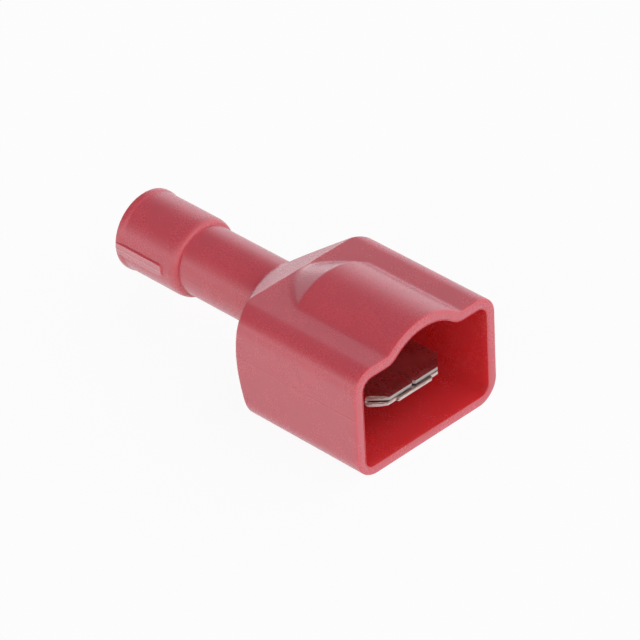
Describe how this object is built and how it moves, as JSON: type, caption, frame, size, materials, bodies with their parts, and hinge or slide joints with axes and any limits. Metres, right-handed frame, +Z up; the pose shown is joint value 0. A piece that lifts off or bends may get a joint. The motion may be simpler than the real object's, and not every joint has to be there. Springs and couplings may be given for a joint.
{
  "type": "insulated male spade terminal",
  "caption": "Fully insulated male spade crimp terminal: a folded flat tab inside an open nylon shroud with a domed top, sloping shoulders, a crimp neck and a wire sleeve.",
  "frame": {"origin": "middle of the bounding box, on the flat bottom face of the housing", "axes": "+X along the wire barrel towards the open mouth, +Y across the tab, +Z up from the bottom face"},
  "size_m": [0.0248, 0.0122, 0.0091],
  "materials": {
    "red_nylon": "moulded, satin, slightly translucent",
    "tinned_brass": "bright tin plating"
  },
  "bodies": {
    "root": {"housing": "red_nylon", "tab_terminal": "tinned_brass"}
  },
  "joints": []
}
